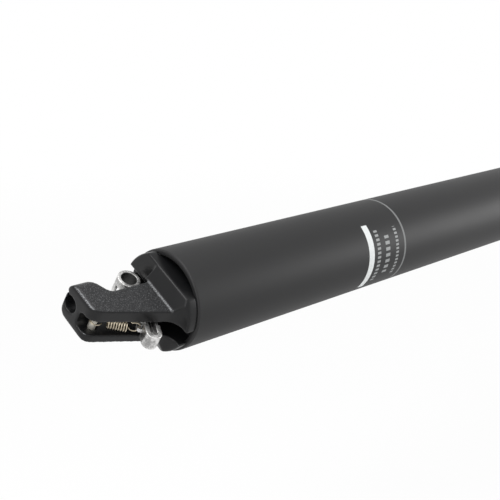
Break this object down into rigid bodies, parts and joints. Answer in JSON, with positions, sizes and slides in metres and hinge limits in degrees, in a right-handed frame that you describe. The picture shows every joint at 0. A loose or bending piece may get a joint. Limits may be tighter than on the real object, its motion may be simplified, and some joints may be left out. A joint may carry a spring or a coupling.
{
  "type": "dropper seatpost",
  "caption": "Black dropper seatpost: outer tube with forked cable actuator, spring lever and valve pin at its foot, sliding stanchion, wiper collar and tilting saddle rail clamp.",
  "frame": {"origin": "on the outer tube's axis at the minimum insertion line", "axes": "+X along the post from the cable actuator to the saddle clamp, Y along the clamp bolt, Z along the saddle rails"},
  "size_m": [0.5349, 0.0688, 0.038],
  "materials": {
    "tube_black": "matte black anodised, fine blasted grain",
    "cast_black": "black coat over a grainy casting",
    "stanchion_black": "smooth satin black anodised",
    "head_black": "satin black forged",
    "lever_silver": "bright tumbled casting",
    "bare_alloy": "turned, clear anodised",
    "bright_steel": "ground",
    "dark_steel": "black oxide",
    "spring_wire": "drawn wire with a warm tint",
    "key_brass": "turned",
    "seal_rubber": "moulded",
    "bush_grey": "moulded"
  },
  "bodies": {
    "lower_assembly": {"outer_tube": "tube_black", "actuator_foot": "cast_black", "lever_pivot_pin": "bright_steel", "spring_anchor_pin": "bright_steel", "return_spring": "spring_wire", "cartridge_rod": "bright_steel", "rod_lock_nut": "bright_steel", "piston": "bare_alloy", "piston_seal": "seal_rubber", "topout_bumper": "seal_rubber", "upper_bushing": "bush_grey", "seal_collar": "tube_black", "collar_seal_ring": "seal_rubber", "wiper_seal": "seal_rubber"},
    "upper_assembly": {"stanchion": "stanchion_black", "lower_bushing": "bush_grey", "guide_keys": "key_brass", "cartridge_tube": "bare_alloy", "cartridge_top_cap": "bare_alloy", "cartridge_end_cap": "bare_alloy", "rod_seal": "seal_rubber", "cartridge_guide": "bush_grey", "retaining_ring": "bright_steel", "saddle_head": "head_black"},
    "rail_clamp": {"inner_clamp_left": "head_black", "inner_clamp_right": "head_black", "outer_clamp_left": "head_black", "outer_clamp_right": "head_black", "clamp_bolt": "dark_steel", "clamp_nut": "dark_steel", "clamp_washers": "bright_steel"},
    "lever": {"actuator_lever": "lever_silver"},
    "valve": {"valve_pin": "bright_steel"}
  },
  "joints": [
    {"name": "post_drop", "type": "slide", "parent": "lower_assembly", "child": "upper_assembly", "axis": [1, 0, 0], "range_m": [-0.17, 0]},
    {"name": "clamp_tilt", "type": "hinge", "parent": "upper_assembly", "child": "rail_clamp", "pos_m": [0.383, 0, 0], "axis": [0, 1, 0], "range_deg": [-15, 15]},
    {"name": "lever_pull", "type": "hinge", "parent": "lower_assembly", "child": "lever", "pos_m": [-0.1098, 0.00185, 0.0012], "axis": [0, -0.5446, 0.8387], "range_deg": [0, 28], "stiffness_Nm_per_rad": 0.002, "springref_deg": -11.46, "deforming": ["return_spring"]},
    {"name": "valve_push", "type": "slide", "parent": "lower_assembly", "child": "valve", "axis": [1, 0, 0], "range_m": [0, 0.00096]}
  ],
  "couplings": [
    {"joint": "lever_pull", "follows": "valve_push", "rad_per_m": 454.5}
  ]
}
